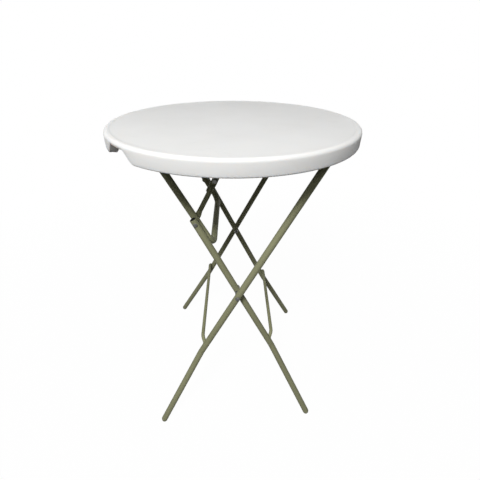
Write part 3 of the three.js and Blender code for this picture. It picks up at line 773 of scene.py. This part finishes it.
def stay_section(half_thick, half_wide, power, sides):
    """A section between an ellipse, at a power of 2, and a rectangle, at a high one."""
    points = []
    for k in range(sides):
        t = 2 * math.pi * k / sides
        c, s = math.cos(t), math.sin(t)
        y = half_thick * math.copysign(abs(c) ** (2 / power), c)
        z = half_wide * math.copysign(abs(s) ** (2 / power), s)
        points.append((y, z))
    return points


def stay_build(start, end, bar_plane, start_lug, end_lug, side, tail=0.0):
    """A pressed-end stay from one pin to another; lugs are planes out from the middle."""
    along = (end - start).normalized()
    length = (end - start).length
    up = along.cross(across_all)
    build = bmesh.new()
    rings = []
    lug_round = [LUG_RADIUS * math.cos(math.radians(turn)) for turn in LUG_TURNS]
    stations = [-reach for reach in lug_round]
    stations += [LUG_RADIUS + LUG_TAPER * k / TAPER_STEPS for k in range(TAPER_STEPS + 1)]
    first_end = LUG_RADIUS + LUG_TAPER
    last_start = length - first_end
    stations += [first_end + (last_start - first_end) * k / BAR_STEPS for k in range(1, BAR_STEPS)]
    stations += [last_start + LUG_TAPER * k / TAPER_STEPS for k in range(TAPER_STEPS + 1)]
    if tail:
        stations += [length] + [length + tail - back for back in TAIL_BACKS]
    else:
        stations += [length + reach for reach in reversed(lug_round)]
    for s in stations:
        to_first = smoothstep((s - LUG_RADIUS) / LUG_TAPER)
        to_last = smoothstep((length - LUG_RADIUS - s) / LUG_TAPER)
        round_share = min(to_first, to_last)
        lug_plane = start_lug if s < length / 2 else end_lug
        plane = lug_plane + (bar_plane - lug_plane) * round_share
        wide = LUG_RADIUS + (STAY_RADIUS - LUG_RADIUS) * round_share
        thick = LUG_THICK / 2 + (STAY_RADIUS - LUG_THICK / 2) * round_share
        if s < 0:
            wide = math.sqrt(max(LUG_RADIUS**2 - s**2, 1e-7))
        if s > length and not tail:
            wide = math.sqrt(max(LUG_RADIUS**2 - (s - length) ** 2, 1e-7))
        if tail and s > length + tail - TAIL_EASE:
            wide *= TAIL_EASE_SHARE
        power = 2 + LUG_SQUARENESS * (1 - round_share)
        centre = start + along * s + across_all * (side * plane)
        section = stay_section(thick, wide, power, ROD_SIDES)
        rings.append(ring_of(build, centre, across_all, up, section))
    for first, second in zip(rings, rings[1:]):
        bridge(build, first, second)
    build.faces.new(rings[0])
    build.faces.new(rings[-1])
    return build


stay_down = (pivot - stay_hinge).normalized()
elbow_plane = (UPPER_STAY_PLANE + LOWER_STAY_PLANE) / 2
upper_elbow_lug = elbow_plane - (GAP + LUG_THICK) / 2
lower_elbow_lug = elbow_plane + (GAP + LUG_THICK) / 2
upper_top_lug = UPPER_STAY_PLANE - STAY_RADIUS + LUG_THICK / 2
lower_pivot_lug = LOWER_STAY_PLANE + STAY_RADIUS - LUG_THICK / 2


def stop_build(side):
    """The stop tab on the upper stay's tail, a plate behind the lower stay."""
    left = Vector((stay_down.z, 0, -stay_down.x))
    inner = upper_elbow_lug - LUG_THICK / 2
    outer = LOWER_STAY_PLANE + STAY_RADIUS / 2
    centre = elbow + stay_down * (ELBOW_TAIL - STOP_LENGTH / 2)
    centre += left * (STAY_RADIUS + GAP + STOP_THICK / 2)
    build = bmesh.new()
    bmesh.ops.create_cube(build, size=1)
    turn = Matrix((stay_down, across_all, left)).transposed().to_4x4()
    size = Matrix.Diagonal((STOP_LENGTH, outer - inner, STOP_THICK, 1))
    place = Matrix.Translation(centre + Vector((0, side * (inner + outer) / 2, 0)))
    bmesh.ops.transform(build, matrix=place @ turn @ size, verts=build.verts)
    bmesh.ops.bevel(build, geom=build.edges[:], offset=STOP_EASE, segments=3, affect="EDGES")
    return build


for side_name, side in leg_sides.items():
    upper = stay_build(
        stay_hinge, elbow, UPPER_STAY_PLANE, upper_top_lug, upper_elbow_lug, side, tail=ELBOW_TAIL
    )
    upper_obj = new_object(f"upper_stay_{side_name}_fine", merged([upper, stop_build(side)]), olive)
    dress(upper_obj, f"upper_stay_{side_name}", "upper_stays")
    lower = stay_build(elbow, pivot, LOWER_STAY_PLANE, lower_elbow_lug, lower_pivot_lug, side)
    lower_obj = new_object(f"lower_stay_{side_name}_fine", lower, olive)
    dress(lower_obj, f"lower_stay_{side_name}", "lower_stays")


# Fasteners: domed heads, washers, nuts and screws turned finer than the CAD's
RIVET_SIZES = (0.0075, 0.0026, 0.004)
BOLT_SIZES = (0.008, 0.005, 0.005)
HEAD_EASE = 0.0002
HEAD_FOOT_SHARE = 0.05
WASHER_BORE = 0.0043
WASHER_EASE = 0.0004
SPACER_BORE = 0.0053
SPACER_EASE = 0.0008
NUT_EASE = 0.0008
NUT_SIDES = 48


def head_profile(sizes, inner, outer, heads):
    """A pin between two planes; sizes are its heads' radius and height and its shank's radius."""
    radius, height, shank = sizes
    dome = [(radius * math.cos(math.radians(a)), math.sin(math.radians(a))) for a in range(8, 90, 10)]
    profile = []
    if "inner" in heads:
        profile += [(0, inner - height)] + [(r, inner - height * h) for r, h in reversed(dome)]
        profile += [(radius, inner - height * HEAD_FOOT_SHARE), (radius - HEAD_EASE, inner), (shank, inner)]
    else:
        profile += [(0, inner), (shank, inner)]
    if "outer" in heads:
        profile += [(shank, outer), (radius - HEAD_EASE, outer), (radius, outer + height * HEAD_FOOT_SHARE)]
        profile += [(r, outer + height * h) for r, h in dome] + [(0, outer + height)]
    else:
        profile += [(shank, outer), (0, outer)]
    return profile


def turned_along_y(node_name, profile, body, material):
    """Replaces a node by a turned body whose profile's heights run out from the middle plane."""
    outward = across_all * (1 if middle(node_name).y > 0 else -1)
    build = lathe(profile, PIN_SIDES, on_middle_plane(middle(node_name)), outward)
    dress(new_object(f"{node_name}_fine", build, material), node_name, body)


def across_pin(node_name, body, heads, sizes, material, slot_name):
    """Replaces a pin that lies along Y by a finer one; heads says at which ends a dome shows."""
    low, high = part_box(node_name)
    near, far = sorted((abs(low.y), abs(high.y)))
    inner = near + (sizes[1] if "inner" in heads else 0)
    outer = far - (sizes[1] if "outer" in heads else 0)
    turned_along_y(node_name, head_profile(sizes, inner, outer, heads), body, material)


def across_washer(node_name, body, bore_radius, ease):
    """Replaces a washer or spacer by one with eased edges."""
    low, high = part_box(node_name)
    radius = (high.z - low.z) / 2
    near, far = sorted((abs(low.y), abs(high.y)))
    profile = [(bore_radius, near), (radius - ease, near), (radius, near + ease), (radius, far - ease)]
    profile += [(radius - ease, far), (bore_radius, far), (bore_radius, near)]
    turned_along_y(node_name, profile, body, shade_dark_nylon)


def hex_nut(node_name, body, bore_radius):
    """A nut with chamfered corners and a bore."""
    low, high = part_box(node_name)
    place = middle(node_name)
    radius = (high.x - low.x) / 2
    flat = radius * math.cos(math.pi / 6)
    turns = [2 * math.pi * k / NUT_SIDES for k in range(NUT_SIDES)]
    build = bmesh.new()

    def ring_at(y, reaches):
        spots = [(place.x + r * math.cos(t), y, place.z + r * math.sin(t)) for r, t in zip(reaches, turns)]
        return [build.verts.new(spot) for spot in spots]

    hexagon = [flat / math.cos(t % (math.pi / 3) - math.pi / 6) for t in turns]
    levels = ((low.y, flat), (low.y + NUT_EASE, radius), (high.y - NUT_EASE, radius), (high.y, flat))
    rings = [ring_at(y, [min(reach, limit) for reach in hexagon]) for y, limit in levels]
    rings += [ring_at(y, [bore_radius] * NUT_SIDES) for y in (high.y, low.y)]
    for first, second in zip(rings, rings[1:] + rings[:1]):
        bridge(build, first, second)
    dress(new_object(f"{node_name}_fine", build, zinc, 30), node_name, body)


pins = (
    ("stay_bracket_pin", "tabletop", "inner outer", RIVET_SIZES, zinc, "zinc_steel"),
    ("elbow_rivet", "upper_stays", "inner outer", RIVET_SIZES, zinc, "zinc_steel"),
    ("leg_pivot_rivet", "inner_frame", "outer", RIVET_SIZES, aged_zinc, "zinc_steel"),
    ("stay_pivot_rivet", "lower_stays", "inner", RIVET_SIZES, olive, "olive_paint"),
    ("crossing_bolt", "outer_frame", "outer", BOLT_SIZES, aged_zinc, "zinc_steel"),
)
for side_name in leg_sides:
    for name, *facts in pins:
        across_pin(f"{name}_{side_name}", *facts)
    across_washer(f"leg_pivot_washer_{side_name}", "link_frame", WASHER_BORE, WASHER_EASE)
    across_washer(f"stay_pivot_washer_{side_name}", "link_frame", WASHER_BORE, WASHER_EASE)
    across_washer(f"crossing_spacer_{side_name}", "outer_frame", SPACER_BORE, SPACER_EASE)
    hex_nut(f"crossing_nut_{side_name}", "outer_frame", SPACER_BORE)
    frame["nodes"][f"link_pivot_pin_{side_name}"].material_slots[0].material = zinc


# Hinge saddles, stay brackets and screws under the top
SADDLE_FLANGE = 0.02
SADDLE_BEND = 0.003
SHEET_EASE = 0.0005
EAR_RADIUS = 0.011
EAR_THICK = 0.003
EAR_SHOULDER = 0.004
EAR_EASE = 0.0004
SCREW_HEAD_HEIGHT = 0.0024
SCREW_SHANK = ((0, 0.0152), (0.0012, 0.0142), (0.0021, 0.0125), (0.0021, 0))
SCREW_SIDES = 24


def saddle_outline(hinge):
    """A strap under the hinge tube with a flange on each side, up against the panel."""
    inner = TUBE_RADIUS + GAP
    outer = inner + SHEET
    end = outer + SADDLE_FLANGE
    top_z = PANEL_BOTTOM - GAP - hinge.z
    bend_z = top_z - SHEET - SADDLE_BEND
    right = arc(outer + SADDLE_BEND, bend_z, SADDLE_BEND, 180, 90, 5)
    right += [(end, top_z - SHEET), (end, top_z)]
    right += arc(outer + SADDLE_BEND, bend_z, SADDLE_BEND + SHEET, 90, 180, 6)
    lower_out = arc(0, 0, outer, 180, 360, 28)
    lower_in = arc(0, 0, inner, 360, 180, 28)
    left = [(-x, z) for x, z in right]
    outline = lower_out + right + lower_in + left[::-1]
    return [(hinge.x + x, hinge.z + z) for x, z in outline]


for hinge_name, hinge in (("outer", outer_hinge), ("link", link_hinge)):
    for side_name in leg_sides:
        node_name = f"{hinge_name}_hinge_saddle_{side_name}"
        low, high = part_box(node_name)
        strap = plate(saddle_outline(hinge), low.y, high.y, SHEET_EASE)
        dress(new_object(f"{node_name}_fine", strap, zinc, 25), node_name, "tabletop")

for side_name, side in leg_sides.items():
    node_name = f"stay_bracket_{side_name}"
    low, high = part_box(node_name)
    ear_planes = sorted(side * (max(abs(low.y), abs(high.y)) - depth) for depth in (EAR_THICK, 0))
    sheet_z = high.z - SHEET
    shoulder_z = high.z - EAR_SHOULDER
    ear = arc(stay_hinge.x, stay_hinge.z, EAR_RADIUS, 180, 360, 24)
    ear += [(stay_hinge.x + EAR_RADIUS, shoulder_z), (high.x, sheet_z), (high.x, high.z)]
    ear += [(low.x, high.z), (low.x, sheet_z), (stay_hinge.x - EAR_RADIUS, shoulder_z)]
    ear_plate = plate(ear, *ear_planes, EAR_EASE)
    flange_outline = [(low.x, sheet_z), (high.x, sheet_z), (high.x, high.z), (low.x, high.z)]
    flange = plate(flange_outline, low.y, high.y, SHEET_EASE)
    bracket = new_object(f"{node_name}_fine", merged([ear_plate, flange]), zinc, 30)
    dress(bracket, node_name, "tabletop")


def screw_build(place, radius, height, seat_z):
    """A screw with a pan head below its seat and a small round recess in it."""
    profile = list(SCREW_SHANK) + [(radius, 0), (radius, -height * 0.3)]
    for turn in (30, 50, 65, 78):
        angle = math.radians(turn)
        profile.append((radius * math.cos(angle), -height * (0.3 + 0.7 * math.sin(angle))))
    recess = radius * 0.12
    profile += [(recess, -height), (recess, -height * 0.45), (0, -height * 0.4)]
    return lathe(profile, SCREW_SIDES, Vector((place.x, place.y, seat_z)))


for index in range(SCREW_COUNT):
    node_name = f"bracket_screw_{index + 1}"
    low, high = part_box(node_name)
    radius = (high.x - low.x) / 2
    screw = screw_build(middle(node_name), radius, SCREW_HEAD_HEIGHT, low.z + SCREW_HEAD_HEIGHT)
    dress(new_object(f"{node_name}_fine", screw, zinc, 30), node_name, "tabletop")


# Stage: pale floor, white surroundings, soft lights and the photograph's camera
FLOOR_RADIUS = 14
FLOOR_FADE = (0.5, 2.4)
FLOOR_GLOW = 0.98
LIT_PLACE = Vector((0, 0, 1.0))
SENSOR_WIDTH = 36
PHOTO_SIZE = 480
PHOTO_FOCAL = 323.973
PHOTO_CENTRE = (232.7013, 195.5965)
CAMERA_PLACE = Vector((0, -1.06465, 1.32424))
CAMERA_PITCH = 0.43761


def make_floor():
    """A floor that glows white to the eye, a little less near the table, where its shadow shows."""
    build = bmesh.new()
    bmesh.ops.create_circle(build, cap_ends=True, segments=96, radius=FLOOR_RADIUS)
    material = bpy.data.materials.new("pale_floor")
    material.use_nodes = True
    tree = material.node_tree
    tree.nodes.clear()
    diffuse = node(tree, "ShaderNodeBsdfDiffuse")
    glow = node(tree, "ShaderNodeEmission", Color=(1, 1, 1, 1), Strength=1.0)
    path = node(tree, "ShaderNodeLightPath")
    seen = math_node(tree, "MAXIMUM", path.outputs["Is Camera Ray"], path.outputs["Is Glossy Ray"])
    place = node(tree, "ShaderNodeTexCoord")
    distance = node(tree, "ShaderNodeVectorMath", operation="LENGTH")
    tree.links.new(place.outputs["Object"], distance.inputs[0])
    fade = node(tree, "ShaderNodeMapRange")
    fade.inputs["From Min"].default_value = FLOOR_FADE[0]
    fade.inputs["From Max"].default_value = FLOOR_FADE[1]
    fade.inputs["To Min"].default_value = FLOOR_GLOW
    fade.inputs["To Max"].default_value = 1
    tree.links.new(distance.outputs["Value"], fade.inputs["Value"])
    share = math_node(tree, "MULTIPLY", fade.outputs["Result"], seen)
    color = mix_color(tree, path.outputs["Is Camera Ray"], grey(0.1), grey(0.9))
    tree.links.new(color, diffuse.inputs["Color"])
    mix = node(tree, "ShaderNodeMixShader")
    output = node(tree, "ShaderNodeOutputMaterial")
    tree.links.new(share, mix.inputs["Fac"])
    tree.links.new(diffuse.outputs[0], mix.inputs[1])
    tree.links.new(glow.outputs[0], mix.inputs[2])
    tree.links.new(mix.outputs[0], output.inputs["Surface"])
    new_object("floor", build, material)


def make_world(ambient):
    """White to the eye and in reflections, and a weak light on the table."""
    world = bpy.data.worlds.new("studio")
    bpy.context.scene.world = world
    world.use_nodes = True
    tree = world.node_tree
    tree.nodes.clear()
    light = node(tree, "ShaderNodeBackground", Color=(1, 1, 1, 1), Strength=ambient)
    seen = node(tree, "ShaderNodeBackground", Color=(1, 1, 1, 1), Strength=1.0)
    path = node(tree, "ShaderNodeLightPath")
    mix = node(tree, "ShaderNodeMixShader")
    output = node(tree, "ShaderNodeOutputWorld")
    direct = math_node(tree, "MAXIMUM", path.outputs["Is Camera Ray"], path.outputs["Is Glossy Ray"])
    direct = math_node(tree, "MAXIMUM", direct, path.outputs["Is Transmission Ray"])
    tree.links.new(direct, mix.inputs["Fac"])
    tree.links.new(light.outputs[0], mix.inputs[1])
    tree.links.new(seen.outputs[0], mix.inputs[2])
    tree.links.new(mix.outputs[0], output.inputs["Surface"])


def lamp(name, azimuth, elevation, distance, size, level):
    """A soft round lamp that lights a white face turned to it, at the lit place, to a level."""
    data = bpy.data.lights.new(name, "AREA")
    data.shape = "DISK"
    data.size = size
    data.energy = level * (math.pi * distance) ** 2
    obj = bpy.data.objects.new(name, data)
    turn, rise = math.radians(azimuth), math.radians(elevation)
    away = Vector((math.cos(rise) * math.sin(turn), -math.cos(rise) * math.cos(turn), math.sin(rise)))
    obj.location = LIT_PLACE + away * distance
    obj.rotation_euler = (-away).to_track_quat("-Z", "Y").to_euler()
    bpy.context.scene.collection.objects.link(obj)


def make_camera():
    data = bpy.data.cameras.new("photo_camera")
    data.sensor_width = SENSOR_WIDTH
    data.lens = data.sensor_width * PHOTO_FOCAL / PHOTO_SIZE
    data.shift_x = (PHOTO_SIZE / 2 - PHOTO_CENTRE[0]) / PHOTO_SIZE
    data.shift_y = (PHOTO_CENTRE[1] - PHOTO_SIZE / 2) / PHOTO_SIZE
    camera = bpy.data.objects.new("photo_camera", data)
    camera.location = CAMERA_PLACE
    camera.rotation_euler = (math.pi / 2 - CAMERA_PITCH, 0, 0)
    bpy.context.scene.collection.objects.link(camera)
    bpy.context.scene.camera = camera


make_floor()
make_world(0.01)
lamp("key", -15, 46, 4.3, 1.0, 1.04)
lamp("front", -6, 30, 3.0, 1.0, 0.12)
lamp("left", -60, 15, 3.0, 1.2, 0.04)
lamp("right", 70, 30, 3.0, 1.2, 0.04)
make_camera()
bpy.context.scene.view_settings.view_transform = "Standard"
